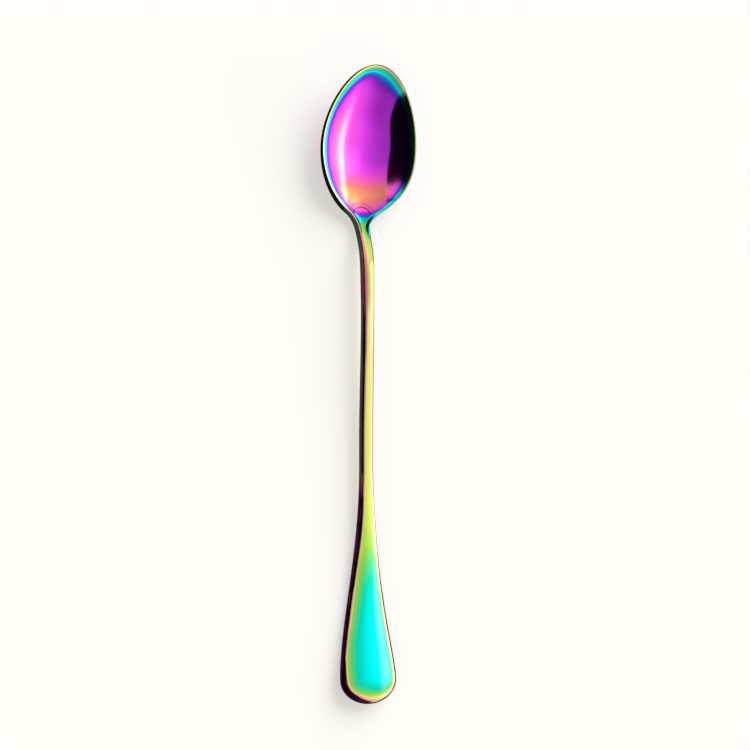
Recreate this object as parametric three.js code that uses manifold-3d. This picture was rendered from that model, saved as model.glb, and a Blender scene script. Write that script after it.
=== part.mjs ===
// A slim long-handled spoon, pressed from one steel blank, in its four stretches:
// bowl, neck, stem and handle, which meet face to face on planes across the spoon.
// Millimetres. +Y runs from the handle's end to the bowl's tip and +Z is up.
// The spoon lies on the plane Z = 0, with the origin under the middle of its box.

import * as THREE from 'three';
import { mergeVertices } from 'three/addons/utils/BufferGeometryUtils.js';
import Module from 'manifold-3d';

const { clamp, lerp, smoothstep } = THREE.MathUtils;

// Length of each stretch, from the tip to the handle's end
const BOWL_LENGTH = 47.5;
const NECK_LENGTH = 15;
const STEM_LENGTH = 57;
const HANDLE_LENGTH = 73.5;

// Full widths, seen from above
const BOWL_WIDTH = 32;
const SHOULDER_WIDTH = 10.9;
const NECK_WIDTH = 3.8;
const STEM_WIDTH = 3.4;
const WAIST_WIDTH = 3.7;
const HANDLE_WIDTH = 18.8;

// Where those widths lie
const TIP_TO_WIDEST = 24.3;
const SHOULDER_ABOVE_NECK = 3.55;
const BOWL_TO_NARROWEST = 4.5;
const NECK_TO_SLIMMEST = 15.4;
const END_ROUND_LENGTH = 7.3;

// How far each curve of the outline runs on before it bends away
const TIP_SIDEWAYS = 8.6;
const TIP_CHEEK = 11.3;
const BOWL_CHEEK = 10.8;
const SHOULDER_RUN = 5.5;
const SHOULDER_CLIMB = 3.6;
const THROAT_RUN = 3;
const THROAT_CHEEK = 3.6;
const FLARE_START = 29.7;
const FLARE_FINISH = 10.8;

// Height of the upper edge along the spoon, seen from the side
const TIP_HEIGHT = 13.7;
const RIM_HEIGHT = 7.75;
const SHOULDER_HEIGHT = 5.55;
const THROAT_HEIGHT = 3.3;
const NECK_HEIGHT = 5.55;
const STEM_TOP_HEIGHT = 6.45;
const STEM_UPPER_HEIGHT = 6.3;
const STEM_LOWER_HEIGHT = 4.8;
const HANDLE_UPPER_HEIGHT = 3.9;
const HANDLE_REST_HEIGHT = 2.95;
const HANDLE_END_HEIGHT = 5.05;

// Where some of those heights lie, as lengths and as shares of a stretch
const END_TO_REST = 22.5;
const SHOULDER_RISE_LENGTH = 8;
const SEAM_TO_THROAT = 1.2;
const HANDLE_UPPER_SHARE = 0.23;
const STEM_LOWER_SHARE = 0.23;
const STEM_UPPER_SHARE = 0.28;
const NECK_SHARE = 0.53;

// Floor of the hollow along its middle: a gutter in the neck, a sill, the belly, then the climb to the tip
const GUTTER_LENGTH = 4.5;
const GUTTER_BED_LENGTH = 0.5;
const GUTTER_BED_HEIGHT = 2.6;
const THROAT_TO_SILL = 4;
const SILL_HEIGHT = 2.4;
const TIP_TO_BELLY = 30.5;
const TIP_TO_CLIMB = 16.5;
const CLIMB_HEIGHT = 3.65;

// Thicknesses at the edge, and in the floor of the bowl
const RIM_EDGE = 1.7;
const THROAT_EDGE = 2.7;
const STEM_EDGE = 3;
const HANDLE_EDGE = 2.75;
const BOWL_WALL = 1.9;

// Radii that soften the edges
const RIM_ROUND = 0.3;
const STEM_ROUND = 0.6;
const HANDLE_ROUND = 1.2;
const HANDLE_END_ROUND = 1.3;

// How full the bowl's sections are next to a parabola, and the crowns of the stem and the handle
const BOWL_FULLNESS = -0.35;
const STEM_FRONT_RADIUS = 7;
const STEM_BACK_RADIUS = 6;
const HANDLE_FRONT_RADIUS = 50;

// Depth of the flats that use has worn where the spoon touches the table
const WEAR = 0.06;

// Fineness of the surface
const TIP_STEPS = 12;
const CHEEK_STEPS = 12;
const THROAT_STEPS = 9;
const NECK_STEPS = 6;
const STEM_STEPS = 6;
const FLARE_STEPS = 16;
const END_STEPS = 9;
const FRONT_STEPS = 14;
const BACK_STEPS = 11;
const ROUND_STEPS = 4;

// Bezier handle of a quarter round, how slowly the neck and the stem taper at each end,
// how near to its ends a curve's edge slope is taken, and the gap that counts as one point
const QUARTER_ROUND = 0.5523;
const NECK_EASE = 0.45;
const STEM_EASE = 0.33;
const POLE = 0.01;
const SAME_POINT = 1e-4;

// Stations along the spoon
const yTip = (BOWL_LENGTH + NECK_LENGTH + STEM_LENGTH + HANDLE_LENGTH) / 2;
const yWidest = yTip - TIP_TO_WIDEST;
const yBowl = yTip - BOWL_LENGTH;
const yShoulder = yBowl + SHOULDER_ABOVE_NECK;
const yGutter = yBowl - GUTTER_LENGTH;
const ySill = yBowl + THROAT_TO_SILL;
const yBelly = yTip - TIP_TO_BELLY;
const yClimb = yTip - TIP_TO_CLIMB;
const yNarrowest = yBowl - BOWL_TO_NARROWEST;
const yNeck = yBowl - NECK_LENGTH;
const ySlimmest = yNeck - NECK_TO_SLIMMEST;
const yStem = yNeck - STEM_LENGTH;
const yEnd = yStem - HANDLE_LENGTH;
const yRest = yEnd + END_TO_REST;
const yRound = yEnd + END_ROUND_LENGTH;

// Natural cubic spline through [y, value] knots that rise in y
function spline(knots) {
  const y = knots.map((knot) => knot[0]);
  const value = knots.map((knot) => knot[1]);
  const last = knots.length - 1;
  const bend = new Array(last + 1).fill(0);
  const carry = new Array(last + 1).fill(0);
  for (let i = 1; i < last; i++) {
    const share = (y[i] - y[i - 1]) / (y[i + 1] - y[i - 1]);
    const pivot = share * bend[i - 1] + 2;
    const rise = (value[i + 1] - value[i]) / (y[i + 1] - y[i]);
    const fall = (value[i] - value[i - 1]) / (y[i] - y[i - 1]);
    bend[i] = (share - 1) / pivot;
    carry[i] = ((6 * (rise - fall)) / (y[i + 1] - y[i - 1]) - share * carry[i - 1]) / pivot;
  }
  bend[last] = 0;
  for (let i = last - 1; i >= 0; i--) bend[i] = bend[i] * bend[i + 1] + carry[i];
  return (at) => {
    let i = 0;
    while (i < last - 1 && at > y[i + 1]) i++;
    const span = y[i + 1] - y[i];
    const a = (y[i + 1] - at) / span;
    const b = 1 - a;
    const curve = (a ** 3 - a) * bend[i] + (b ** 3 - b) * bend[i + 1];
    return a * value[i] + b * value[i + 1] + (curve * span ** 2) / 6;
  };
}

// Side view: the upper edge, the edge's thickness and its rounding
const edgeHeight = spline([
  [yEnd, HANDLE_END_HEIGHT],
  [yRest, HANDLE_REST_HEIGHT],
  [lerp(yStem, yEnd, HANDLE_UPPER_SHARE), HANDLE_UPPER_HEIGHT],
  [lerp(yStem, yNeck, STEM_LOWER_SHARE), STEM_LOWER_HEIGHT],
  [lerp(yNeck, yStem, STEM_UPPER_SHARE), STEM_UPPER_HEIGHT],
  [yNeck, STEM_TOP_HEIGHT],
  [lerp(yNeck, yBowl, NECK_SHARE), NECK_HEIGHT],
  [yBowl + SEAM_TO_THROAT, THROAT_HEIGHT],
  [yBowl + SHOULDER_RISE_LENGTH, SHOULDER_HEIGHT],
  [yWidest, RIM_HEIGHT],
  [yTip, TIP_HEIGHT],
]);
const edgeThickness = spline([
  [yEnd, HANDLE_EDGE],
  [yRest, HANDLE_EDGE],
  [yStem, STEM_EDGE],
  [yNeck, STEM_EDGE],
  [yBowl, THROAT_EDGE],
  [yWidest, RIM_EDGE],
  [yTip, RIM_EDGE],
]);
const edgeRound = spline([
  [yEnd, HANDLE_END_ROUND],
  [yRest, HANDLE_ROUND],
  [yStem, STEM_ROUND],
  [yNeck, STEM_ROUND],
  [yWidest, RIM_ROUND],
  [yTip, RIM_ROUND],
]);

// Depth of the hollow below the edge, from the height of its floor
const floorHeight = spline([
  [yGutter, edgeHeight(yGutter)],
  [yBowl - GUTTER_BED_LENGTH, GUTTER_BED_HEIGHT],
  [ySill, SILL_HEIGHT],
  [yBelly, BOWL_WALL],
  [yClimb, CLIMB_HEIGHT],
  [yTip, TIP_HEIGHT],
]);
const hollow = (y) => (y > yGutter ? Math.max(edgeHeight(y) - floorHeight(y), 0) : 0);

// Rise of the front's middle over its edges, and of the back's middle, across a given half width
const sections = (y, half) => {
  const onStem = smoothstep(y, yRest, yStem);
  const offBowl = 1 - smoothstep(y, yNeck, yGutter);
  const crown = (offBowl * lerp(1 / HANDLE_FRONT_RADIUS, 1 / STEM_FRONT_RADIUS, onStem) * half ** 2) / 2;
  const bulge = (offBowl * onStem * half ** 2) / STEM_BACK_RADIUS / 2;
  const edge = edgeThickness(y);
  const thickness = Math.max(edge + crown + bulge - hollow(y), BOWL_WALL);
  const front = crown - hollow(y);
  const fullness = BOWL_FULLNESS * Math.min(hollow(y) / hollow(yWidest), 1);
  return { front, back: front - thickness + edge, fullness };
};
const across = (u, fullness) => 1 - (1 - fullness) * u ** 2 - fullness * u ** 4;

// Right half of the outline from above, tip to handle end, as smooth curves with their steps
const curve = (...points) => new THREE.CubicBezierCurve(...points.map(([x, y]) => new THREE.Vector2(x, y)));
const ease = ([x0, y0], [x1, y1], share) =>
  curve([x0, y0], [x0, lerp(y0, y1, share)], [x1, lerp(y1, y0, share)], [x1, y1]);
const tip = [0, yTip];
const widest = [BOWL_WIDTH / 2, yWidest];
const shoulder = [SHOULDER_WIDTH / 2, yShoulder];
const throatDrop = (THROAT_RUN * SHOULDER_CLIMB) / SHOULDER_RUN;
const narrowest = [NECK_WIDTH / 2, yNarrowest];
const slimmest = [STEM_WIDTH / 2, ySlimmest];
const waist = [WAIST_WIDTH / 2, yStem];
const round = [HANDLE_WIDTH / 2, yRound];
const end = [0, yEnd];
const outline = [
  [curve(tip, [TIP_SIDEWAYS, yTip], [widest[0], yWidest + TIP_CHEEK], widest), TIP_STEPS],
  [
    curve(
      widest,
      [widest[0], yWidest - BOWL_CHEEK],
      [shoulder[0] + SHOULDER_RUN, yShoulder + SHOULDER_CLIMB],
      shoulder,
    ),
    CHEEK_STEPS,
  ],
  [
    curve(
      shoulder,
      [shoulder[0] - THROAT_RUN, yShoulder - throatDrop],
      [narrowest[0], yNarrowest + THROAT_CHEEK],
      narrowest,
    ),
    THROAT_STEPS,
  ],
  [ease(narrowest, slimmest, NECK_EASE), NECK_STEPS],
  [ease(slimmest, waist, STEM_EASE), STEM_STEPS],
  [curve(waist, [waist[0], yStem - FLARE_START], [round[0], yRound + FLARE_FINISH], round), FLARE_STEPS],
  [
    curve(
      round,
      [round[0], lerp(yRound, yEnd, QUARTER_ROUND)],
      [round[0] * QUARTER_ROUND, yEnd],
      end,
    ),
    END_STEPS,
  ],
];

// Direction in which a curve of the outline runs, exact at its ends
function heading({ v0, v1, v2, v3 }, t) {
  const legs = [v1.clone().sub(v0), v2.clone().sub(v1), v3.clone().sub(v2)];
  return new THREE.QuadraticBezierCurve(...legs).getPoint(t).normalize();
}

// One station on the outline: its point, the way inwards, and the angles where the rounding
// of the upper and the lower edge runs out into the front and the back
function station(path, t) {
  const along = heading(path, t);
  const offPole = clamp(t, POLE, 1 - POLE);
  const near = path.getPoint(offPole);
  const { front, back, fullness } = sections(near.y, near.x);
  const edgeSlope = (2 + 2 * fullness) / (near.x * Math.abs(heading(path, offPole).y));
  return {
    point: path.getPoint(t),
    inward: new THREE.Vector2(along.y, -along.x),
    frontAngle: Math.PI / 2 - Math.atan(front * edgeSlope),
    backAngle: Math.PI / 2 + Math.atan(back * edgeSlope),
  };
}
const stations = outline.flatMap(([path, steps], index) =>
  Array.from({ length: index === 0 ? steps + 1 : steps }, (_, i) =>
    station(path, index === 0 ? i / steps : (i + 1) / steps),
  ),
);

// One ring of points around the spoon: front from left to right, then the right edge, back and left edge
function ring({ point, inward, frontAngle, backAngle }) {
  const thickness = edgeThickness(point.y);
  const radius = edgeRound(point.y);
  const upperEdge = (angle) => {
    const at = point.clone().addScaledVector(inward, radius * (1 - Math.cos(angle)));
    return new THREE.Vector3(at.x, at.y, edgeHeight(at.y) - radius * (1 - Math.sin(angle)));
  };
  const lowerEdge = (angle) => {
    const at = point.clone().addScaledVector(inward, radius * (1 - Math.cos(angle)));
    return new THREE.Vector3(at.x, at.y, edgeHeight(at.y) - thickness + radius * (1 - Math.sin(angle)));
  };
  const span = (edge, rise, fullness, steps) =>
    Array.from({ length: steps + 1 }, (_, i) => {
      const u = Math.sin((Math.PI / 2) * ((2 * i) / steps - 1));
      return new THREE.Vector3(u * edge.x, edge.y, edge.z + rise * across(u, fullness));
    });
  const frontEdge = upperEdge(frontAngle);
  const backEdge = lowerEdge(backAngle);
  const shape = sections(point.y, point.x);
  const front = span(frontEdge, shape.front, shape.fullness, FRONT_STEPS);
  const back = span(backEdge, shape.back, shape.fullness, BACK_STEPS).reverse();
  const arc = Array.from({ length: ROUND_STEPS }, (_, i) => i / ROUND_STEPS);
  const rightEdge = [
    ...arc.map((share) => upperEdge(frontAngle * (1 - share))).slice(1),
    upperEdge(0),
    ...arc.map((share) => lowerEdge(backAngle * share)),
  ];
  const leftEdge = rightEdge.map(({ x, y, z }) => new THREE.Vector3(-x, y, z)).reverse();
  return [...front, ...rightEdge, ...back, ...leftEdge];
}

// Lays the rings on the table: the belly of the bowl and the back of the handle both touch it
function settle(rings) {
  const points = rings.flat();
  const lowest = (from, to) =>
    points.filter(({ y }) => y > from && y < to).reduce((low, next) => (next.z < low.z ? next : low)).clone();
  const belly = lowest(yBowl, yTip);
  const heel = lowest(yEnd, yStem);
  for (const point of points) {
    point.z -= lerp(heel.z, belly.z, (point.y - heel.y) / (belly.y - heel.y)) + WEAR;
  }
  return rings;
}

// Skins the rings into one closed solid; the rings at the tip and the end close to a line
function loft(rings) {
  const size = rings[0].length;
  const skin = new THREE.BufferGeometry().setFromPoints(rings.flat());
  const triangles = [];
  for (let r = 0; r + 1 < rings.length; r++) {
    for (let k = 0; k < size; k++) {
      const next = (k + 1) % size;
      const a = r * size + k;
      const b = r * size + next;
      triangles.push(a, a + size, b, b, a + size, b + size);
    }
  }
  skin.setIndex(triangles);
  const merged = mergeVertices(skin, SAME_POINT);
  const index = merged.index.array;
  const kept = [];
  for (let i = 0; i < index.length; i += 3) {
    const [a, b, c] = index.slice(i, i + 3);
    if (a !== b && b !== c && c !== a) kept.push(a, b, c);
  }
  return new wasm.Manifold(
    new wasm.Mesh({
      numProp: 3,
      vertProperties: new Float32Array(merged.attributes.position.array),
      triVerts: new Uint32Array(kept),
    }),
  );
}

function asMesh(name, solid, color) {
  const { vertProperties, triVerts } = solid.getMesh();
  const geometry = new THREE.BufferGeometry();
  geometry.setAttribute('position', new THREE.BufferAttribute(vertProperties, 3));
  geometry.setIndex(new THREE.BufferAttribute(triVerts, 1));
  geometry.computeVertexNormals();
  const polish = new THREE.MeshStandardMaterial({ color, roughness: 0.1, metalness: 1 });
  const mesh = new THREE.Mesh(geometry, polish);
  mesh.name = name;
  return mesh;
}

const wasm = await Module();
wasm.setup();

// The blank, worn flat where it touches the table, and parted into its stretches
const blank = loft(settle(stations.map(ring))).trimByPlane([0, 0, 1], 0);
const [bowl, shank] = blank.splitByPlane([0, 1, 0], yBowl);
const [neck, bar] = shank.splitByPlane([0, 1, 0], yNeck);
const [stem, handle] = bar.splitByPlane([0, 1, 0], yStem);

const spoon = new THREE.Group();
spoon.add(
  asMesh('bowl', bowl, 0xc050d8),
  asMesh('neck', neck, 0x7fc46a),
  asMesh('stem', stem, 0xd8e86e),
  asMesh('handle', handle, 0x18d8cc),
);

export default spoon;
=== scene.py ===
"""A slim rainbow-coated steel spoon, lying face up on a pale table."""
import math

import bmesh
import bpy
import numpy as np
from mathutils import Matrix, Vector


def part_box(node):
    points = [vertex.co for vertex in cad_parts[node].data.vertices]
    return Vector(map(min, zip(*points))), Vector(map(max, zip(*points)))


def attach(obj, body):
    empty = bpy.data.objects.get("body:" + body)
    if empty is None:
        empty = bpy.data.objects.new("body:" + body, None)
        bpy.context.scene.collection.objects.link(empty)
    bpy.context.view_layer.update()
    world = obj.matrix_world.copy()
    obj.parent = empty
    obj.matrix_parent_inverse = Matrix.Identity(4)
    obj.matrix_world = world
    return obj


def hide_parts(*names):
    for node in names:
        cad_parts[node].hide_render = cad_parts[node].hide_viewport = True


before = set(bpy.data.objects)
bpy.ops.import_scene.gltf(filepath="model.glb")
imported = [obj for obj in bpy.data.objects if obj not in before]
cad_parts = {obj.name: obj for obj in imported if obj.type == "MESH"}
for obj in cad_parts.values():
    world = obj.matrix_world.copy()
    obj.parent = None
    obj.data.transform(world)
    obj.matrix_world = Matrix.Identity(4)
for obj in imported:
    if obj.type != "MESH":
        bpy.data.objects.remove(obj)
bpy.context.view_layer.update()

MM = 0.001
PIECES = ("bowl", "neck", "stem", "handle")

# Sizes read from the frame, in millimetres
Y_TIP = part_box("bowl")[1].y / MM
Y_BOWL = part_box("neck")[1].y / MM
Y_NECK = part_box("stem")[1].y / MM
Y_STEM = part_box("handle")[1].y / MM
Y_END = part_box("handle")[0].y / MM
BOWL_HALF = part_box("bowl")[1].x / MM
HANDLE_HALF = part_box("handle")[1].x / MM

# Half widths along the outline
SHOULDER_HALF = 5.45
NECK_HALF = 1.9
STEM_HALF = 1.7
WAIST_HALF = 1.85

# Distances from the ends and the seams, and the places along the spoon that they give
TIP_TO_WIDEST = 24.3
TIP_TO_CLIMB = 16.5
TIP_TO_BELLY = 30.5
SHOULDER_RISE_LENGTH = 8.0
THROAT_TO_SILL = 4.0
SHOULDER_ABOVE_NECK = 3.55
SEAM_TO_THROAT = 1.2
GUTTER_BED_LENGTH = 0.5
GUTTER_LENGTH = 4.5
BOWL_TO_NARROWEST = 4.5
NECK_TO_SLIMMEST = 15.4
END_TO_REST = 22.5
END_ROUND_LENGTH = 7.3
Y_WIDEST = Y_TIP - TIP_TO_WIDEST
Y_CLIMB = Y_TIP - TIP_TO_CLIMB
Y_BELLY = Y_TIP - TIP_TO_BELLY
Y_RISE = Y_BOWL + SHOULDER_RISE_LENGTH
Y_SILL = Y_BOWL + THROAT_TO_SILL
Y_SHOULDER = Y_BOWL + SHOULDER_ABOVE_NECK
Y_THROAT = Y_BOWL + SEAM_TO_THROAT
Y_GUTTER_BED = Y_BOWL - GUTTER_BED_LENGTH
Y_GUTTER = Y_BOWL - GUTTER_LENGTH
Y_NARROWEST = Y_BOWL - BOWL_TO_NARROWEST
Y_SLIMMEST = Y_NECK - NECK_TO_SLIMMEST
Y_REST = Y_END + END_TO_REST
Y_ROUND = Y_END + END_ROUND_LENGTH

# How far each curve of the outline runs on before it bends away
TIP_SIDEWAYS = 8.6
TIP_CHEEK = 11.3
BOWL_CHEEK = 10.8
SHOULDER_RUN = 5.5
SHOULDER_CLIMB = 3.6
THROAT_RUN = 3.0
THROAT_CHEEK = 3.6
FLARE_START = 29.7
FLARE_FINISH = 10.8
NECK_EASE = 0.45
STEM_EASE = 0.33
QUARTER_ROUND = 0.5523

# Heights of the upper edge, from the handle's end to the tip
HANDLE_END_HEIGHT = 5.05
HANDLE_REST_HEIGHT = 2.95
HANDLE_UPPER_HEIGHT = 3.9
STEM_LOWER_HEIGHT = 4.8
STEM_UPPER_HEIGHT = 6.3
STEM_TOP_HEIGHT = 6.45
NECK_HEIGHT = 5.55
THROAT_HEIGHT = 3.3
SHOULDER_HEIGHT = 5.55
RIM_HEIGHT = 7.75
TIP_HEIGHT = 13.7

# Shares of a stretch's length at which four of those heights lie
HANDLE_UPPER_SHARE = 0.23
STEM_LOWER_SHARE = 0.23
STEM_UPPER_SHARE = 0.28
NECK_SHARE = 0.53

# Heights of the hollow's floor
GUTTER_BED_HEIGHT = 2.6
SILL_HEIGHT = 2.4
CLIMB_HEIGHT = 3.65

# Thickness of the edge, and the radius that rounds it
HANDLE_EDGE = 2.75
STEM_EDGE = 3.0
THROAT_EDGE = 2.7
RIM_EDGE = 1.7
HANDLE_END_ROUND = 1.3
HANDLE_ROUND = 1.2
STEM_ROUND = 0.6
RIM_ROUND = 0.3

# Hollow of the bowl, crowns of the stem and the handle, and the worn flats underneath
BOWL_WALL = 1.9
BOWL_FULLNESS = -0.35
STEM_FRONT_RADIUS = 7.0
STEM_BACK_RADIUS = 6.0
HANDLE_FRONT_RADIUS = 50.0
WEAR = 0.06

# Fineness of the surface: rings along each curve of the outline, and steps around a ring
CURVE_STEPS = (80, 70, 46, 44, 50, 100, 60)
FRONT_STEPS = 64
BACK_STEPS = 44
ROUND_STEPS = 10
POLE = 0.01

# How close points merge and cuts snap, in metres, and how far past its ends the spoon is looked for
MERGE_DISTANCE = 1e-8
CUT_DISTANCE = 1e-7
SEAM_MARGIN = 1.0

# Photograph's view: camera on the left, about 28 degrees from overhead, in a square frame
FRAME_PIXELS = 750.0
CAMERA_TILT = math.radians(27.6)
CAMERA_TURN = -0.01
CAMERA_DISTANCE = 0.650
PIXELS_PER_METRE = 3273.4
ORIGIN_PIXEL = (360.82, 386.28)
SENSOR_MM = 36.0
CLIP_START = 0.01
CLIP_END = 50.0


def lerp(a, b, share):
    """The value a share of the way from a to b."""
    return a + (b - a) * share


def smoothstep(value, low, high):
    """A smooth climb from 0 at low to 1 at high, or down where low is the larger."""
    share = np.clip((value - low) / (high - low), 0.0, 1.0)
    return share * share * (3.0 - 2.0 * share)


def spline(knots):
    """Natural cubic spline through (y, value) knots that rise in y."""
    y, value = np.array(knots, float).T
    gap = np.diff(y)
    slope = np.diff(value) / gap
    count = len(y)
    system = np.eye(count)
    pull = np.zeros(count)
    for i in range(1, count - 1):
        system[i, i - 1:i + 2] = gap[i - 1], 2.0 * (gap[i - 1] + gap[i]), gap[i]
        pull[i] = 6.0 * (slope[i] - slope[i - 1])
    bend = np.linalg.solve(system, pull)

    def at(place):
        i = np.clip(np.searchsorted(y, place) - 1, 0, count - 2)
        a = (y[i + 1] - place) / gap[i]
        b = 1.0 - a
        curve = (a ** 3 - a) * bend[i] + (b ** 3 - b) * bend[i + 1]
        return a * value[i] + b * value[i + 1] + curve * gap[i] ** 2 / 6.0

    return at


# Side view: height of the upper edge, thickness of the edge and its rounding
edge_height = spline([
    (Y_END, HANDLE_END_HEIGHT),
    (Y_REST, HANDLE_REST_HEIGHT),
    (lerp(Y_STEM, Y_END, HANDLE_UPPER_SHARE), HANDLE_UPPER_HEIGHT),
    (lerp(Y_STEM, Y_NECK, STEM_LOWER_SHARE), STEM_LOWER_HEIGHT),
    (lerp(Y_NECK, Y_STEM, STEM_UPPER_SHARE), STEM_UPPER_HEIGHT),
    (Y_NECK, STEM_TOP_HEIGHT),
    (lerp(Y_NECK, Y_BOWL, NECK_SHARE), NECK_HEIGHT),
    (Y_THROAT, THROAT_HEIGHT),
    (Y_RISE, SHOULDER_HEIGHT),
    (Y_WIDEST, RIM_HEIGHT),
    (Y_TIP, TIP_HEIGHT),
])
edge_thickness = spline([
    (Y_END, HANDLE_EDGE),
    (Y_REST, HANDLE_EDGE),
    (Y_STEM, STEM_EDGE),
    (Y_NECK, STEM_EDGE),
    (Y_BOWL, THROAT_EDGE),
    (Y_WIDEST, RIM_EDGE),
    (Y_TIP, RIM_EDGE),
])
edge_round = spline([
    (Y_END, HANDLE_END_ROUND),
    (Y_REST, HANDLE_ROUND),
    (Y_STEM, STEM_ROUND),
    (Y_NECK, STEM_ROUND),
    (Y_WIDEST, RIM_ROUND),
    (Y_TIP, RIM_ROUND),
])

# Side view of the hollow: height of its floor, from the gutter to the tip
floor_height = spline([
    (Y_GUTTER, edge_height(Y_GUTTER)),
    (Y_GUTTER_BED, GUTTER_BED_HEIGHT),
    (Y_SILL, SILL_HEIGHT),
    (Y_BELLY, BOWL_WALL),
    (Y_CLIMB, CLIMB_HEIGHT),
    (Y_TIP, TIP_HEIGHT),
])


def hollow(y):
    """Depth of the hollow below the edge."""
    return np.where(y > Y_GUTTER, np.maximum(edge_height(y) - floor_height(y), 0.0), 0.0)


def sections(y, half):
    """Rise of the front's and the back's middle over their edges, and how full the hollow is."""
    share = np.minimum(hollow(y) / hollow(Y_WIDEST), 1.0)
    on_stem = smoothstep(y, Y_REST, Y_STEM)
    off_bowl = 1.0 - smoothstep(y, Y_NECK, Y_GUTTER)
    crown = off_bowl * lerp(1.0 / HANDLE_FRONT_RADIUS, 1.0 / STEM_FRONT_RADIUS, on_stem) * half ** 2 / 2.0
    bulge = off_bowl * on_stem / STEM_BACK_RADIUS * half ** 2 / 2.0
    edge = edge_thickness(y)
    thickness = np.maximum(edge + crown + bulge - hollow(y), BOWL_WALL)
    front = crown - hollow(y)
    return front, front - thickness + edge, BOWL_FULLNESS * share


def outline():
    """Right half of the outline from above, tip to handle end, as Bezier curves."""
    tip, end = (0.0, Y_TIP), (0.0, Y_END)
    widest = (BOWL_HALF, Y_WIDEST)
    shoulder = (SHOULDER_HALF, Y_SHOULDER)
    narrowest = (NECK_HALF, Y_NARROWEST)
    slimmest = (STEM_HALF, Y_SLIMMEST)
    waist = (WAIST_HALF, Y_STEM)
    rounding = (HANDLE_HALF, Y_ROUND)
    throat_drop = THROAT_RUN * SHOULDER_CLIMB / SHOULDER_RUN

    def ease(start, stop, share):
        return [
            start,
            (start[0], lerp(start[1], stop[1], share)),
            (stop[0], lerp(stop[1], start[1], share)),
            stop,
        ]

    return [
        [tip, (TIP_SIDEWAYS, Y_TIP), (BOWL_HALF, Y_WIDEST + TIP_CHEEK), widest],
        [
            widest,
            (BOWL_HALF, Y_WIDEST - BOWL_CHEEK),
            (SHOULDER_HALF + SHOULDER_RUN, Y_SHOULDER + SHOULDER_CLIMB),
            shoulder,
        ],
        [
            shoulder,
            (SHOULDER_HALF - THROAT_RUN, Y_SHOULDER - throat_drop),
            (NECK_HALF, Y_NARROWEST + THROAT_CHEEK),
            narrowest,
        ],
        ease(narrowest, slimmest, NECK_EASE),
        ease(slimmest, waist, STEM_EASE),
        [waist, (WAIST_HALF, Y_STEM - FLARE_START), (HANDLE_HALF, Y_ROUND + FLARE_FINISH), rounding],
        [
            rounding,
            (HANDLE_HALF, lerp(Y_ROUND, Y_END, QUARTER_ROUND)),
            (HANDLE_HALF * QUARTER_ROUND, Y_END),
            end,
        ],
    ]


def along_curve(curve, t):
    """Points of a Bezier curve and the unit headings there."""
    p = np.array(curve, float)
    s = t[:, None]
    points = (1 - s) ** 3 * p[0] + 3 * (1 - s) ** 2 * s * p[1] + 3 * (1 - s) * s ** 2 * p[2] + s ** 3 * p[3]
    legs = np.diff(p, axis=0)
    headings = (1 - s) ** 2 * legs[0] + 2 * (1 - s) * s * legs[1] + s ** 2 * legs[2]
    return points, headings / np.linalg.norm(headings, axis=1, keepdims=True)


def stations():
    """Outline points, inward directions, and the angles where the edges' rounding runs out."""
    points, inward, front_angle, back_angle = [], [], [], []
    for index, (curve, steps) in enumerate(zip(outline(), CURVE_STEPS)):
        t = np.linspace(0.0, 1.0, steps + 1)[0 if index == 0 else 1:]
        point, heading = along_curve(curve, t)
        near, near_heading = along_curve(curve, np.clip(t, POLE, 1.0 - POLE))
        front, back, fullness = sections(near[:, 1], near[:, 0])
        edge_slope = (2.0 + 2.0 * fullness) / (near[:, 0] * np.abs(near_heading[:, 1]))
        points.append(point)
        inward.append(np.stack([heading[:, 1], -heading[:, 0]], 1))
        front_angle.append(math.pi / 2.0 - np.arctan(front * edge_slope))
        back_angle.append(math.pi / 2.0 + np.arctan(back * edge_slope))
    return [np.concatenate(part) for part in (points, inward, front_angle, back_angle)]


def rings():
    """Rings of points around the spoon, in millimetres, as an array of rings by columns by 3."""
    point, inward, front_angle, back_angle = stations()
    thickness = edge_thickness(point[:, 1])[:, None]
    radius = edge_round(point[:, 1])[:, None]

    def edge(angles, upper):
        inset = radius * (1.0 - np.cos(angles))
        at = point[:, None, :] + inward[:, None, :] * inset[:, :, None]
        drop = radius * (1.0 - np.sin(angles))
        height = edge_height(at[:, :, 1]) + (-drop if upper else drop - thickness)
        return np.concatenate([at, height[:, :, None]], 2)

    def span(rim, rise, fullness, steps):
        u = np.sin(math.pi / 2.0 * np.linspace(-1.0, 1.0, steps + 1))[None, :]
        bow = 1.0 - (1.0 - fullness) * u ** 2 - fullness * u ** 4
        return np.stack([u * rim[:, :, 0], rim[:, :, 1] + 0.0 * u, rim[:, :, 2] + rise * bow], 2)

    front, back, fullness = [part[:, None] for part in sections(point[:, 1], point[:, 0])]
    shares = np.linspace(0.0, 1.0, ROUND_STEPS + 1)[None, :]
    upper = edge(front_angle[:, None] * (1.0 - shares), True)
    lower = edge(back_angle[:, None] * shares, False)
    right = np.concatenate([upper[:, 1:], lower[:, :-1]], 1)
    left = right[:, ::-1] * np.array((-1.0, 1.0, 1.0))
    face = span(upper[:, :1], front, fullness, FRONT_STEPS)
    rear = span(lower[:, -1:], back, fullness, BACK_STEPS)[:, ::-1]
    return settle(np.concatenate([face, right, rear, left], 1))


def settle(ring):
    """Lays the spoon on the table, on the belly of the bowl and the back of the handle."""
    def lowest(inside):
        points = ring[inside]
        return points[np.argmin(points[:, 2])]

    belly = lowest(ring[:, :, 1] > Y_BOWL)
    heel = lowest(ring[:, :, 1] < Y_STEM)
    share = (ring[:, :, 1] - heel[1]) / (belly[1] - heel[1])
    ring[:, :, 2] = np.maximum(ring[:, :, 2] - lerp(heel[2], belly[2], share) - WEAR, 0.0)
    return ring


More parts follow.
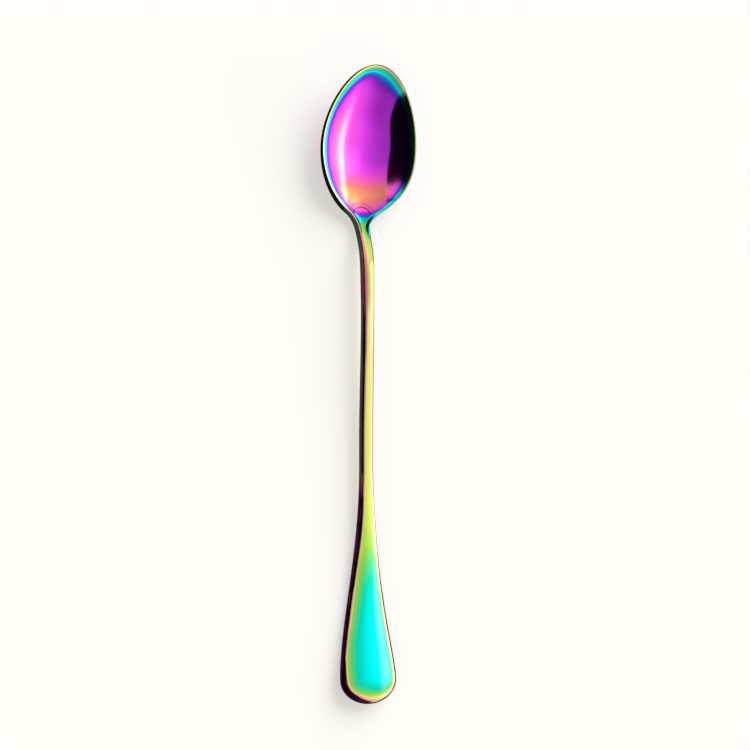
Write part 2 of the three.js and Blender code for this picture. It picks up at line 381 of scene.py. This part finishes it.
# Film thickness along the spoon's middle, on a scale that the coating's colours follow
FILM_MIDDLE = (
    (-96.5, 0.74), (-94.5, 0.68), (-92.5, 0.63), (-89.0, 0.59), (-84.0, 0.58), (-74.0, 0.58),
    (-67.0, 0.60), (-60.0, 0.645), (-54.0, 0.69), (-47.0, 0.73), (-40.0, 0.765), (-32.0, 0.79),
    (0.0, 0.80), (16.0, 0.805), (24.0, 0.83), (29.0, 0.842), (36.0, 0.83), (40.0, 0.795), (42.5, 0.765),
    (45.0, 0.745), (48.8, 0.735), (49.4, 0.705), (50.0, 0.675), (50.6, 0.63), (51.0, 0.57), (51.5, 0.47),
    (51.9, 0.44), (52.2, 0.40), (52.8, 0.34), (53.4, 0.235), (54.0, 0.178), (54.8, 0.165), (55.6, 0.15),
    (56.5, 0.135), (58.0, 0.12), (59.5, 0.135), (61.0, 0.165), (62.5, 0.19), (65.0, 0.235), (69.0, 0.262),
    (74.0, 0.268), (82.0, 0.27), (86.0, 0.262), (90.0, 0.255), (96.5, 0.27),
)
# How much thinner the film is on the bowl's left, how much thicker on its right, and where across it changes
FILM_TILT = (
    (52.0, 0.0, 0.0), (56.0, 0.015, 0.015), (59.0, 0.015, 0.015), (62.0, 0.02, 0.005), (64.0, 0.04, 0.02),
    (68.0, 0.085, 0.06), (80.0, 0.085, 0.06), (88.0, 0.045, 0.07), (91.0, 0.045, 0.11),
)
TILT_SPAN = (-0.6, 0.4)
# How much thinner it is on the handle's right, and from where across; this takes the film there to a paler
# cyan, partly the coating's colour and partly a painted highlight
FILM_THINNING = (
    (-96.5, 0.02), (-92.0, 0.05), (-88.0, 0.035), (-80.0, 0.028), (-72.0, 0.03), (-64.0, 0.065),
    (-57.0, 0.05), (-48.0, 0.0),
)
THINNER_SIDE = (0.35, 0.65)
# Wide border of thicker film inside each edge: its width, and the thickness it reaches
LEFT_BORDER = (
    (-96.5, 2.0), (-93.0, 3.4), (-88.0, 4.4), (-77.0, 3.8), (-65.0, 3.3), (-53.0, 2.2), (-40.0, 1.5),
    (-30.0, 0.6), (20.0, 0.6), (28.0, 1.0), (46.0, 1.0), (54.0, 0.8), (57.0, 1.1), (62.0, 1.5),
    (68.0, 1.8), (82.0, 1.85), (90.0, 2.2), (96.5, 2.0),
)
LEFT_BORDER_FILM = (
    (-96.5, 0.80), (-92.0, 0.775), (-85.0, 0.75), (-77.0, 0.735), (-65.0, 0.755), (-45.0, 0.76),
    (-30.0, 0.81), (20.0, 0.81), (28.0, 0.865), (40.0, 0.85), (46.0, 0.80), (56.0, 0.72), (64.0, 0.74),
    (84.0, 0.74), (96.5, 0.80),
)
RIGHT_BORDER = (
    (-96.5, 2.6), (-93.0, 2.2), (-90.5, 1.6), (-87.0, 0.85), (-60.0, 0.6), (-45.0, 0.6), (-30.0, 0.5),
    (46.0, 0.5), (54.0, 0.6), (56.0, 0.8), (58.0, 1.3), (64.0, 1.4), (78.0, 1.6), (84.0, 1.7), (88.0, 1.8),
    (91.0, 2.1), (96.5, 2.1),
)
RIGHT_BORDER_FILM = (
    (-96.5, 0.80), (-30.0, 0.81), (44.0, 0.76), (49.0, 0.60), (56.0, 0.68), (78.0, 0.70), (84.0, 0.75),
    (88.0, 0.735), (95.0, 0.735), (96.5, 0.76),
)
# How sharply the film falls off at the border's inner limit
LEFT_POWER = 1.5
RIGHT_POWER = ((80.0, 1.5), (88.0, 1.6))
# Where across the film goes from its left to its right values, and the least half width that it does so over
CROSSOVER = (-0.5, 0.5)
SIDE_SPAN = ((-92.0, 7.0), (-86.0, 0.05), (80.0, 0.05), (88.0, 7.0))
# How far in from the edge's rounding the handle's dark rim, a painted dark reflection, runs, on the left and
# on the right
LEFT_RIM = (
    (-96.5, -0.1), (-95.8, 0.2), (-93.5, 0.8), (-89.0, 0.45), (-83.0, 0.0), (-60.0, 0.0), (-53.0, 0.1),
    (-46.0, 0.28), (-40.0, 0.28), (-32.0, 0.0),
)
RIGHT_RIM = ((-96.5, -0.1), (-95.0, -0.1), (-90.0, 0.0))
RIM_BLUR = 0.08
# Narrow line of film along each edge: how far in it is whole and gone, and the thickness it reaches
LEFT_LINE = (
    (-96.5, 0.3, 0.9, 0.875), (-92.0, 0.25, 0.8, 0.88), (-86.0, 0.1, 0.5, 0.885), (-80.0, 0.0, 0.35, 0.89),
    (-40.0, 0.05, 0.4, 0.89), (20.0, 0.2, 0.6, 0.895), (36.0, 0.25, 1.0, 0.895), (46.0, 0.25, 1.0, 0.895),
    (50.0, 0.2, 0.75, 0.895), (55.0, 0.1, 0.45, 0.82), (96.5, 0.1, 0.45, 0.82),
)
RIGHT_LINE = (
    (-96.5, 0.3, 0.9, 0.865), (-95.5, 0.3, 0.9, 0.845), (-94.0, 0.3, 0.9, 0.82), (-60.0, 0.3, 0.75, 0.815),
    (-40.0, 0.1, 0.5, 0.825), (-20.0, 0.1, 0.4, 0.86), (10.0, 0.15, 0.45, 0.86), (30.0, 0.2, 0.6, 0.8),
    (44.0, 0.3, 0.7, 0.75), (48.0, 0.3, 0.7, 0.56), (51.0, 0.1, 0.45, 0.53), (53.0, 0.1, 0.45, 0.55),
    (55.0, 0.1, 0.45, 0.66), (58.0, 0.1, 0.45, 0.66), (66.0, 0.1, 0.45, 0.75), (84.0, 0.1, 0.45, 0.76),
    (92.0, 0.1, 0.45, 0.875), (96.5, 0.1, 0.45, 0.87),
)
# Shares of the edge's rounding between which the film turns near black, as a painted dark reflection, on the
# left and on the right
LEFT_DARKENING = (
    (-96.5, 0.3, 0.45), (-95.8, 0.1, 0.25), (-94.5, -0.2, -0.05), (-84.5, -0.2, -0.05), (-82.0, 0.1, 0.3),
    (-62.0, 0.1, 0.3), (-58.0, -0.2, -0.05), (-36.0, -0.2, -0.05), (-32.0, 0.1, 0.3), (0.0, 0.2, 0.55),
    (20.0, 0.2, 0.55), (28.0, 0.1, 1.6), (44.0, 0.3, 1.2), (54.0, 0.2, 0.55),
)
RIGHT_DARKENING = (
    (-96.5, 0.3, 0.45), (-95.0, 0.1, 0.25), (-92.0, 0.0, 0.12), (-84.0, -0.06, 0.04), (45.0, -0.1, 0.0),
    (47.0, 0.42, 0.5), (55.0, 0.42, 0.5), (60.0, 0.2, 0.4),
)
# Dark film that the edges' rounding turns to, and the film down the side to the back; the dark values are a
# painted dark reflection
RIM_DARK_REFLECTION = (
    (-96.5, 0.93), (-34.0, 0.93), (-25.0, 1.012), (42.0, 1.012), (50.0, 0.987), (53.0, 0.987),
    (57.0, 1.02), (60.0, 1.03),
)
FLANK_DARK_REFLECTION = (
    (-96.5, 0.946), (-40.0, 0.946), (-10.0, 0.95), (20.0, 0.952), (30.0, 0.962), (40.0, 0.977),
    (50.0, 0.992), (53.0, 0.99), (57.0, 1.02), (60.0, 1.03),
)
FILM_BACK = 0.82
BACK_SHARES = (0.7, 1.0)
# Two painted shade lines round the gutter's mouth, drawn as the shade of creases: middle, half width and
# height, how deep the painted shade is, and where they fade in
PAINTED_CREASE_LINES = (
    ((-0.65, 51.9), (3.15, 2.6), 0.78, (52.2, 52.9)), ((-0.9, 51.9), (4.6, 3.67), 0.35, (52.8, 53.8)),
)
PAINTED_CREASE_WIDTH = 0.22
# Painted shade on the bed of the gutter and the bend of the neck: where along the spoon, how long, and how
# deep
SHADES = ((50.9, 0.8, 0.35), (31.5, 8.0, 0.28))
# Painted sheen, a painted highlight where the handle starts to widen: where along the spoon, how long, how
# strong, and from where across
PAINTED_SHEEN = (-54.0, 16.0, 0.35, (-0.5, 0.2))
# Paler band down the handle's right, a painted highlight of added white: how pale along the spoon, and where
# across it starts and ends
PAINTED_HIGHLIGHT_BAND = (
    (-96.0, 0.0), (-93.0, 0.1), (-80.0, 0.08), (-72.0, 0.13), (-62.0, 0.2), (-44.0, 0.22), (-38.0, 0.0),
)
PAINTED_HIGHLIGHT_START = (0.3, 0.62)
PAINTED_HIGHLIGHT_FINISH = (0.95, 0.8)


def table_value(table, place, column=1):
    """A table's value at places along the spoon, drawn straight between its rows."""
    places, values = np.array(table)[:, (0, column)].T
    return np.interp(place, places, values)


def sideways(ring):
    """Where every point lies across the spoon: -1 at its left edge and 1 at its right."""
    rim = ring[:, FRONT_STEPS, :2]
    half = np.maximum(rim[:, :1], table_value(SIDE_SPAN, rim[:, 1:]))
    return np.clip(ring[:, :, 0] / half, -1.0, 1.0)


def edge_film(y, edge_line, darkening):
    """Film over an edge at stations y, darkened into a painted dark reflection: across the upper rounding,
    then the lower one to the back.
    """
    shares = np.linspace(0.0, 1.0, ROUND_STEPS + 1)[None, :]
    line = table_value(edge_line, y, 3)[:, None]
    start = table_value(darkening, y, 1)[:, None]
    finish = table_value(darkening, y, 2)[:, None]
    # Painted dark reflection across the rounding and down the flank
    upper = lerp(line, table_value(RIM_DARK_REFLECTION, y)[:, None], smoothstep(shares, start, finish))
    lower = lerp(table_value(FLANK_DARK_REFLECTION, y)[:, None], FILM_BACK, smoothstep(shares, *BACK_SHARES))
    return np.concatenate([upper[:, 1:], lower[:, :-1]], 1)


def film(ring):
    """Film thickness at every point: a value along the spoon that climbs towards its edges, and on them
    turns to the near black of a painted dark reflection.
    """
    y = ring[:, :, 1]
    columns = ring.shape[1]
    rim = ring[:, FRONT_STEPS, :2]
    side = sideways(ring)
    rims = np.concatenate([rim, rim * (-1.0, 1.0)])
    distance = np.empty(y.shape)
    for column in range(columns):
        gap = np.linalg.norm(ring[:, column, None, :2] - rims[None, :, :], axis=2)
        distance[:, column] = gap.min(1)
    rightness = smoothstep(side, *CROSSOVER)
    thinner, thicker = (table_value(FILM_TILT, y, column) for column in (1, 2))
    value = table_value(FILM_MIDDLE, y) + lerp(-thinner, thicker, smoothstep(side, *TILT_SPAN))
    value -= table_value(FILM_THINNING, y) * smoothstep(side, *THINNER_SIDE)
    border = lerp(table_value(LEFT_BORDER, y), table_value(RIGHT_BORDER, y), rightness)
    border_film = lerp(table_value(LEFT_BORDER_FILM, y), table_value(RIGHT_BORDER_FILM, y), rightness)
    power = lerp(LEFT_POWER, table_value(RIGHT_POWER, y), rightness)
    value = lerp(value, border_film, np.exp(-(distance / border) ** power))
    whole, gone, line_film = (
        lerp(table_value(LEFT_LINE, y, column), table_value(RIGHT_LINE, y, column), rightness)
        for column in (1, 2, 3)
    )
    inside = distance - lerp(table_value(LEFT_RIM, y), table_value(RIGHT_RIM, y), rightness)
    value = lerp(line_film, value, smoothstep(inside, whole, gone))
    # Painted dark reflection along the edges
    value = lerp(table_value(RIM_DARK_REFLECTION, y), value, smoothstep(inside, -RIM_BLUR, 0.0))
    stations_y = ring[:, FRONT_STEPS, 1]
    right = edge_film(stations_y, RIGHT_LINE, RIGHT_DARKENING)
    left = edge_film(stations_y, LEFT_LINE, LEFT_DARKENING)
    first = FRONT_STEPS + 1
    value[:, first:first + right.shape[1]] = right
    value[:, columns - left.shape[1]:] = left[:, ::-1]
    return value


def painted_shade_and_sheen(ring):
    """How much painted light darkens or brightens the coating at every point: whole, but for the painted
    shades, the painted sheen and the painted crease lines.
    """
    x, y = ring[:, :, 0], ring[:, :, 1]
    shade = np.ones(y.shape)
    # Painted shade: the gutter's bed and the neck's bend darkened
    for middle, length, depth in SHADES:
        shade -= depth * np.exp(-((y - middle) / length) ** 2)
    # Painted sheen: the handle's upper right brightened as a painted highlight
    middle, length, strength, across = PAINTED_SHEEN
    shade += strength * np.exp(-((y - middle) / length) ** 2) * smoothstep(sideways(ring), *across)
    # Painted shade along two crease lines
    for (middle_x, middle_y), (half, height), depth, fade in PAINTED_CREASE_LINES:
        radius = np.hypot((x - middle_x) / half, (y - middle_y) / height)
        shade -= depth * np.exp(-((radius - 1.0) * height / PAINTED_CREASE_WIDTH) ** 2) * smoothstep(y, *fade)
    shade[:, FRONT_STEPS + 1:] = 1.0
    return shade


def paleness(ring):
    """How much white is added to the coating's colour at every point, as a painted highlight down the
    handle's right.
    """
    side = sideways(ring)
    across = smoothstep(side, *PAINTED_HIGHLIGHT_START) * smoothstep(side, *PAINTED_HIGHLIGHT_FINISH)
    pale = table_value(PAINTED_HIGHLIGHT_BAND, ring[:, :, 1]) * across
    pale[:, FRONT_STEPS + 1:] = 0.0
    return pale


def spoon_skin():
    """The whole spoon's skin, parted on the planes between its stretches, with film and normals kept."""
    ring = rings()
    count, columns, _ = ring.shape
    value = film(ring)
    # Painted shade, sheen and crease lines, kept at the points to scale the coating's colour
    shade = painted_shade_and_sheen(ring)
    # White added to the coating as a painted highlight
    pale = paleness(ring)
    mesh = bmesh.new()
    film_layer = mesh.verts.layers.float.new("film")
    painted_shade_and_sheen_layer = mesh.verts.layers.float.new("painted_shade_and_sheen")
    painted_highlight_layer = mesh.verts.layers.float.new("pale")
    normal_layer = mesh.verts.layers.float_vector.new("skin_normal")
    grid = []
    for r in range(count):
        row = []
        for k in range(columns):
            vert = mesh.verts.new(ring[r, k] * MM)
            vert[film_layer] = value[r, k]
            vert[painted_shade_and_sheen_layer] = shade[r, k]
            vert[painted_highlight_layer] = pale[r, k]
            row.append(vert)
        grid.append(row)
    for r in range(count - 1):
        for k in range(columns):
            n = (k + 1) % columns
            mesh.faces.new((grid[r][k], grid[r + 1][k], grid[r + 1][n], grid[r][n]))
    bmesh.ops.remove_doubles(mesh, verts=mesh.verts, dist=MERGE_DISTANCE)
    for plane in (Y_BOWL, Y_NECK, Y_STEM):
        bmesh.ops.bisect_plane(
            mesh,
            geom=[*mesh.verts, *mesh.edges, *mesh.faces],
            dist=CUT_DISTANCE,
            plane_co=(0.0, plane * MM, 0.0),
            plane_no=(0.0, 1.0, 0.0),
        )
    mesh.normal_update()
    for vert in mesh.verts:
        vert[normal_layer] = vert.normal
    return mesh


def stretch(skin, name, low, high):
    """One stretch of the skin as a closed piece, shaded as part of the whole spoon."""
    part = skin.copy()
    outside = [f for f in part.faces if not low * MM < f.calc_center_median().y < high * MM]
    bmesh.ops.delete(part, geom=outside, context="FACES")
    open_edges = [e for e in part.edges if e.is_boundary]
    caps = bmesh.ops.holes_fill(part, edges=open_edges, sides=0)["faces"]
    for cap in caps:
        cap.material_index = 1
    data = bpy.data.meshes.new(name)
    part.to_mesh(data)
    part.free()
    corner_normals = np.zeros((len(data.loops), 3))
    skin_normals = data.attributes["skin_normal"].data
    for polygon in data.polygons:
        for corner in polygon.loop_indices:
            on_skin = skin_normals[data.loops[corner].vertex_index].vector
            corner_normals[corner] = polygon.normal if polygon.material_index else on_skin
        polygon.material_index = 0
        polygon.use_smooth = True
    data.attributes.remove(data.attributes["skin_normal"])
    data.normals_split_custom_set(corner_normals)
    piece = bpy.data.objects.new(name, data)
    bpy.context.scene.collection.objects.link(piece)
    return piece


def srgb(red, green, blue):
    """A colour given as it looks on screen, 0 to 255, as the linear values that shaders take."""
    shares = np.array((red, green, blue)) / 255.0
    linear = np.where(shares <= 0.04045, shares / 12.92, ((shares + 0.055) / 1.055) ** 2.4)
    return (*linear, 1.0)


# Colours of the coating as its film thickens, from gold round to the near black of the edges, which paints
# their dark reflection
FILM_COLOURS = (
    (0.00, srgb(255, 232, 165)),
    (0.11, srgb(252, 172, 108)),
    (0.15, srgb(248, 130, 128)),
    (0.19, srgb(250, 104, 185)),
    (0.23, srgb(248, 84, 226)),
    (0.28, srgb(232, 68, 240)),
    (0.33, srgb(192, 53, 222)),
    (0.36, srgb(160, 45, 200)),
    (0.40, srgb(112, 50, 206)),
    (0.43, srgb(75, 76, 212)),
    (0.47, srgb(38, 125, 225)),
    (0.51, srgb(28, 170, 238)),
    (0.534, srgb(18, 200, 240)),
    # A paler cyan, partly a painted highlight down the handle's right
    (0.55, srgb(72, 240, 250)),
    (0.566, srgb(16, 240, 241)),
    (0.58, srgb(5, 240, 238)),
    (0.66, srgb(12, 217, 172)),
    (0.70, srgb(92, 213, 118)),
    (0.735, srgb(160, 215, 80)),
    (0.77, srgb(212, 236, 100)),
    (0.80, srgb(236, 241, 130)),
    (0.825, srgb(246, 240, 158)),
    (0.845, srgb(240, 212, 150)),
    (0.87, srgb(246, 172, 152)),
    (0.895, srgb(250, 140, 182)),
    # The darkest stops paint the dark reflection along the edges
    (0.915, srgb(150, 62, 130)),
    (0.93, srgb(14, 8, 16)),
    (0.946, srgb(86, 30, 82)),
    (0.961, srgb(98, 48, 52)),
    (0.976, srgb(84, 72, 50)),
    (0.99, srgb(30, 104, 64)),
    (1.00, srgb(14, 20, 24)),
)
# Tint of the steel's mirror at a grazing view
EDGE_TINT = (0.5, 0.5, 0.5, 1.0)
# Cloudy drift of the film's thickness, and smudges that dull the polish: fineness, detail and depth
DRIFT = (70.0, 3.0, 0.05)
SMUDGES = (260.0, 5.0, 0.07)
POLISH = 0.03


def link(tree, source, target):
    """Joins two sockets of a node tree."""
    tree.links.new(source, target)


def maths(tree, operation, *values):
    """A Math node fed by sockets or plain numbers; gives its output."""
    node = tree.nodes.new("ShaderNodeMath")
    node.operation = operation
    for socket, value in zip(node.inputs, values):
        if isinstance(value, bpy.types.NodeSocket):
            link(tree, value, socket)
        else:
            socket.default_value = value
    return node.outputs[0]


def ramp(tree, source, stops):
    """A colour ramp over (place, colour) stops, driven by a socket; gives its colour output."""
    node = tree.nodes.new("ShaderNodeValToRGB")
    elements = node.color_ramp.elements
    while len(elements) < len(stops):
        elements.new(1.0)
    for element, (place, colour) in zip(elements, stops):
        element.position = place
        element.color = colour
    link(tree, source, node.inputs[0])
    return node.outputs["Color"]


def noise(tree, coordinates, scale, detail):
    """A noise texture over some coordinates; gives its grey output."""
    node = tree.nodes.new("ShaderNodeTexNoise")
    node.inputs["Scale"].default_value = scale
    node.inputs["Detail"].default_value = detail
    link(tree, coordinates, node.inputs["Vector"])
    return node.outputs["Fac"]


def attribute(tree, name):
    """A value kept at the mesh's points, by its name."""
    node = tree.nodes.new("ShaderNodeAttribute")
    node.attribute_name = name
    return node.outputs["Fac"]


def rainbow_coating():
    """Mirror-polished steel under a thin interference film whose colour follows its thickness, with painted
    shade, sheen and highlight, and painted dark reflections at the edges.
    """
    material = bpy.data.materials.new("rainbow_coating")
    material.use_nodes = True
    tree = material.node_tree
    shader = tree.nodes["Principled BSDF"]
    shader.inputs["Metallic"].default_value = 1.0
    shader.inputs["Specular Tint"].default_value = EDGE_TINT
    place = tree.nodes.new("ShaderNodeTexCoord").outputs["Object"]
    fineness, detail, depth = DRIFT
    drift = maths(tree, "SUBTRACT", noise(tree, place, fineness, detail), 0.5)
    drift = maths(tree, "MULTIPLY", drift, depth)
    colour = ramp(tree, maths(tree, "ADD", attribute(tree, "film"), drift), FILM_COLOURS)
    # Painted shade and sheen scale the film's colour, and the painted highlight adds white
    coating_with_painted_light = tree.nodes.new("ShaderNodeVectorMath")
    coating_with_painted_light.operation = "MULTIPLY_ADD"
    link(tree, colour, coating_with_painted_light.inputs[0])
    link(tree, attribute(tree, "painted_shade_and_sheen"), coating_with_painted_light.inputs[1])
    link(tree, attribute(tree, "pale"), coating_with_painted_light.inputs[2])
    link(tree, coating_with_painted_light.outputs[0], shader.inputs["Base Color"])
    fineness, detail, depth = SMUDGES
    smudge = maths(tree, "MULTIPLY", noise(tree, place, fineness, detail), depth)
    link(tree, maths(tree, "ADD", smudge, POLISH), shader.inputs["Roughness"])
    return material


def camera():
    """The photograph's camera: its origin pixel and scale place it, looking down from the left."""
    towards = Vector((-math.sin(CAMERA_TILT), 0.0, math.cos(CAMERA_TILT)))
    across = Vector((math.cos(CAMERA_TILT), 0.0, math.sin(CAMERA_TILT)))
    right = across * math.cos(CAMERA_TURN) + Vector((0.0, math.sin(CAMERA_TURN), 0.0))
    up = towards.cross(right)
    shift_right = (FRAME_PIXELS / 2.0 - ORIGIN_PIXEL[0]) / PIXELS_PER_METRE
    shift_up = (ORIGIN_PIXEL[1] - FRAME_PIXELS / 2.0) / PIXELS_PER_METRE
    place = right * shift_right + up * shift_up + towards * CAMERA_DISTANCE
    data = bpy.data.cameras.new("camera")
    data.sensor_width = SENSOR_MM
    data.lens = SENSOR_MM * CAMERA_DISTANCE * PIXELS_PER_METRE / FRAME_PIXELS
    data.clip_start = CLIP_START
    data.clip_end = CLIP_END
    item = bpy.data.objects.new("camera", data)
    axes = Matrix((right, up, towards)).transposed()
    item.matrix_world = Matrix.Translation(place) @ axes.to_4x4()
    bpy.context.scene.collection.objects.link(item)
    bpy.context.scene.camera = item


# Degrees round the spoon, and the light that a ramp's white stands for
FULL_TURN = 360.0
BRIGHTEST = 10.0
# Light round the spoon by the angle across it: left horizon, overhead, right horizon, in degrees
ROOM_LIGHT = (
    (-90.0, 0.75), (-60.0, 0.7), (-20.0, 0.64), (-5.0, 0.75), (10.0, 0.88), (25.0, 0.98), (40.0, 1.03),
    (57.0, 1.05), (75.0, 1.0), (90.0, 1.0),
)
# Towards the tip the light falls off and leans over: share that stays, degrees, and where along the spoon
FALL_OFF = (0.88, 25.0, (-0.3, -0.8))
# A strip of light and a broad glow beside it: levels by angle, and where along the spoon each fades
STRIP_LIGHT = (
    (56.0, 0.0), (63.0, 0.4), (67.0, 1.2), (71.0, 4.6), (74.0, 6.0), (76.5, 2.8), (79.0, 1.2), (83.0, 0.5),
    (88.0, 0.0),
)
STRIP_ALONG = ((-0.72, 0.05), (0.27, 0.14))
GLOW_LIGHT = ((22.0, 0.0), (30.0, 0.12), (38.0, 0.5), (46.0, 0.85), (54.0, 0.9), (62.0, 0.7), (70.0, 0.0))
GLOW_ALONG = ((-0.12, 0.13), (0.23, 0.15))
# A pale gap past the near end of the dark side
GAP_LIGHT = ((-60.0, 0.0), (-45.0, 0.5), (-19.5, 0.5), (-16.5, 0.0))
GAP_ALONG = ((0.25, 0.264), (0.5, 0.35))
# The dark camera side: its right limit across the spoon, which bows, its left limit, and how soft they are
DARK_RIGHT = -22.2
DARK_RIGHT_EDGE = 0.6
DARK_BOW = (-0.2, 17.0)
DARK_LEFT = -78.0
DARK_LEFT_EDGE = 4.0
# Its limits along the spoon, how soft they are, and how they slant past some angles
DARK_FAR = -0.775
DARK_FAR_EDGE = 0.015
DARK_FAR_SLANT = (-16.0, 0.005)
DARK_FAR_MOST = 0.18
DARK_NEAR = 0.2585
DARK_NEAR_EDGE = 0.001
DARK_NEAR_SLANT = (-23.2, -0.0045)
DARK_NEAR_FLARE = (-26.8, 0.06)
# Share of the light that is left there
DARK_LEVEL = 0.01
# Plain light on what isn't a mirror, and the pale ground: its colour, and the share of it that shows unlit
AMBIENT = (0.45, 0.43, 0.40, 1.0)
PAPER = srgb(254, 253, 249)
PAPER_SHARE = 0.5
TABLE_COLOUR = srgb(248, 247, 243)
TABLE_HALF = 4.0
# The lamp: its strength, how broad it is in degrees, and the direction that it shines from
LAMP_STRENGTH = 3.2
LAMP_BREADTH = 55.0
LAMP_FROM = (0.8, 1.2, 1.0)


def by_angle(levels):
    """Colour-ramp stops for light levels given by angle in degrees."""
    return [(degrees / FULL_TURN + 0.5, (*(level / BRIGHTEST,) * 3, 1.0)) for degrees, level in levels]


def room():
    """A plain studio: bright from the right, dark on the camera's side, pale where the camera sees it."""
    world = bpy.data.worlds.new("room")
    world.use_nodes = True
    bpy.context.scene.world = world
    tree = world.node_tree
    background = tree.nodes["Background"]
    direction = tree.nodes.new("ShaderNodeTexCoord").outputs["Generated"]
    parts = tree.nodes.new("ShaderNodeSeparateXYZ")
    link(tree, direction, parts.inputs[0])
    along = parts.outputs["Y"]
    turn = maths(tree, "ARCTAN2", parts.outputs["X"], parts.outputs["Z"])
    angle = maths(tree, "MULTIPLY", turn, math.degrees(1.0))
    place = maths(tree, "MULTIPLY_ADD", angle, 1.0 / FULL_TURN, 0.5)

    def step(source, low, high):
        """A smooth climb from 0 at low to 1 at high."""
        node = tree.nodes.new("ShaderNodeMapRange")
        node.interpolation_type = "SMOOTHSTEP"
        node.inputs["From Min"].default_value = low
        node.inputs["From Max"].default_value = high
        link(tree, source, node.inputs["Value"])
        return node.outputs[0]

    def past(start, rate):
        """A climb at a rate per degree to the left of a starting angle."""
        turned = maths(tree, "MAXIMUM", maths(tree, "SUBTRACT", start, angle), 0.0)
        return maths(tree, "MULTIPLY", turned, rate)

    stays, lean, along_tip = FALL_OFF
    tip_side = step(along, *along_tip)
    leaning = maths(tree, "MULTIPLY_ADD", tip_side, -lean / FULL_TURN, place)
    fall_off = maths(tree, "MULTIPLY_ADD", tip_side, stays - 1.0, 1.0)
    light = maths(tree, "MULTIPLY", ramp(tree, leaning, by_angle(ROOM_LIGHT)), fall_off)
    for levels, fades in ((STRIP_LIGHT, STRIP_ALONG), (GLOW_LIGHT, GLOW_ALONG), (GAP_LIGHT, GAP_ALONG)):
        lamp = ramp(tree, place, by_angle(levels))
        for fade in fades:
            lamp = maths(tree, "MULTIPLY", lamp, step(along, *fade))
        light = maths(tree, "ADD", light, lamp)
    bow_middle, bow_rate = DARK_BOW
    bow = maths(tree, "POWER", maths(tree, "ABSOLUTE", maths(tree, "SUBTRACT", along, bow_middle)), 2.0)
    bowed = maths(tree, "SUBTRACT", angle, maths(tree, "MULTIPLY", bow, bow_rate))
    far = maths(tree, "SUBTRACT", along, maths(tree, "MINIMUM", past(*DARK_FAR_SLANT), DARK_FAR_MOST))
    near = maths(tree, "SUBTRACT", along, maths(tree, "ADD", past(*DARK_NEAR_SLANT), past(*DARK_NEAR_FLARE)))
    dark = step(bowed, DARK_RIGHT + DARK_RIGHT_EDGE, DARK_RIGHT - DARK_RIGHT_EDGE)
    for limit in (
        step(angle, DARK_LEFT - DARK_LEFT_EDGE, DARK_LEFT),
        step(far, DARK_FAR - DARK_FAR_EDGE, DARK_FAR + DARK_FAR_EDGE),
        step(near, DARK_NEAR + DARK_NEAR_EDGE, DARK_NEAR - DARK_NEAR_EDGE),
    ):
        dark = maths(tree, "MULTIPLY", dark, limit)
    clear = maths(tree, "MULTIPLY_ADD", dark, DARK_LEVEL - 1.0, 1.0)
    lit = tree.nodes.new("ShaderNodeBackground")
    link(tree, maths(tree, "MULTIPLY", light, clear), lit.inputs["Color"])
    lit.inputs["Strength"].default_value = BRIGHTEST
    background.inputs["Color"].default_value = PAPER
    ambient = tree.nodes.new("ShaderNodeBackground")
    ambient.inputs["Color"].default_value = AMBIENT
    ray = tree.nodes.new("ShaderNodeLightPath").outputs
    mixed = lit
    for share, other in (("Is Diffuse Ray", ambient), ("Is Camera Ray", background)):
        mix = tree.nodes.new("ShaderNodeMixShader")
        link(tree, ray[share], mix.inputs[0])
        link(tree, mixed.outputs[0], mix.inputs[1])
        link(tree, other.outputs[0], mix.inputs[2])
        mixed = mix
    link(tree, mixed.outputs[0], tree.nodes["World Output"].inputs["Surface"])


def key_light():
    """A broad soft lamp beyond the tip and to the right, which throws the soft shadow to the lower left."""
    data = bpy.data.lights.new("key", "SUN")
    data.energy = LAMP_STRENGTH
    data.angle = math.radians(LAMP_BREADTH)
    item = bpy.data.objects.new("key", data)
    item.rotation_euler = Vector(LAMP_FROM).to_track_quat("Z", "Y").to_euler()
    item.visible_glossy = False
    bpy.context.scene.collection.objects.link(item)


def table():
    """The pale table that the spoon lies on, part of whose paleness the camera and mirrors see as it is."""
    data = bpy.data.meshes.new("table")
    corners = [(x * TABLE_HALF, y * TABLE_HALF, 0.0) for x, y in ((-1, -1), (1, -1), (1, 1), (-1, 1))]
    data.from_pydata(corners, [], [(0, 1, 2, 3)])
    item = bpy.data.objects.new("table", data)
    material = bpy.data.materials.new("pale_table")
    material.use_nodes = True
    tree = material.node_tree
    shader = tree.nodes["Principled BSDF"]
    shader.inputs["Base Color"].default_value = TABLE_COLOUR
    shader.inputs["Roughness"].default_value = 1.0
    shader.inputs["Specular IOR Level"].default_value = 0.0
    paper = tree.nodes.new("ShaderNodeEmission")
    paper.inputs["Color"].default_value = PAPER
    ray = tree.nodes.new("ShaderNodeLightPath").outputs
    seen = maths(tree, "ADD", ray["Is Camera Ray"], ray["Is Glossy Ray"])
    seen = maths(tree, "ADD", seen, ray["Is Transmission Ray"])
    mix = tree.nodes.new("ShaderNodeMixShader")
    link(tree, maths(tree, "MULTIPLY", seen, PAPER_SHARE), mix.inputs[0])
    link(tree, shader.outputs[0], mix.inputs[1])
    link(tree, paper.outputs[0], mix.inputs[2])
    link(tree, mix.outputs[0], tree.nodes["Material Output"].inputs["Surface"])
    data.materials.append(material)
    bpy.context.scene.collection.objects.link(item)


def spoon():
    """The spoon's four stretches, each in the place of its solid."""
    skin = spoon_skin()
    coating = rainbow_coating()
    seams = (Y_TIP + SEAM_MARGIN, Y_BOWL, Y_NECK, Y_STEM, Y_END - SEAM_MARGIN)
    for name, high, low in zip(PIECES, seams[:-1], seams[1:]):
        piece = stretch(skin, "coated_" + name, low, high)
        piece.data.materials.append(coating)
        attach(piece, "root")
        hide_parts(name)
    skin.free()


camera()
room()
key_light()
table()
spoon()
bpy.context.scene.view_settings.view_transform = "Standard"
